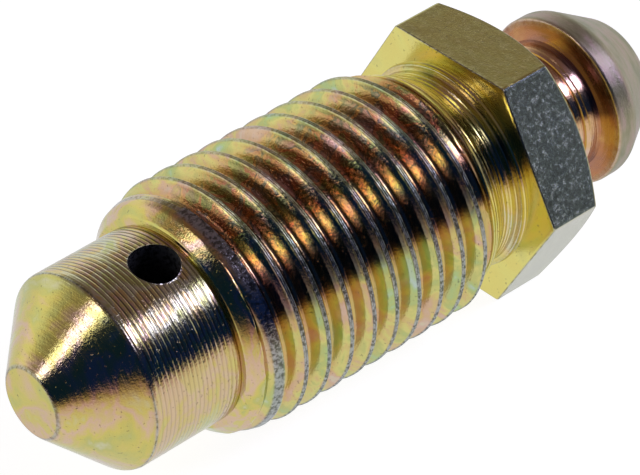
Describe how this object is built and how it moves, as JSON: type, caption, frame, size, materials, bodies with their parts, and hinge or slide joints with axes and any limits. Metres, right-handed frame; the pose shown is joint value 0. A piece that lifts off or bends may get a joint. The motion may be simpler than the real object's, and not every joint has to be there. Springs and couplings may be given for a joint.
{
  "type": "bleeder screw",
  "caption": "Turned screw with a conical seat, a cross-drilled nose, a helical thread, a hexagon and a barbed hose nipple.",
  "frame": {"origin": "centre of the flat tip face, on the screw's axis", "axes": "+X along the axis from the tip to the nipple, +Z out of the uppermost hexagon flat, +Y the third axis"},
  "size_m": [0.0278, 0.0108, 0.0094],
  "materials": {
    "plated_steel": "iridescent yellow zinc plate, satin"
  },
  "bodies": {
    "root": {"bleeder_screw": "plated_steel"}
  },
  "joints": []
}
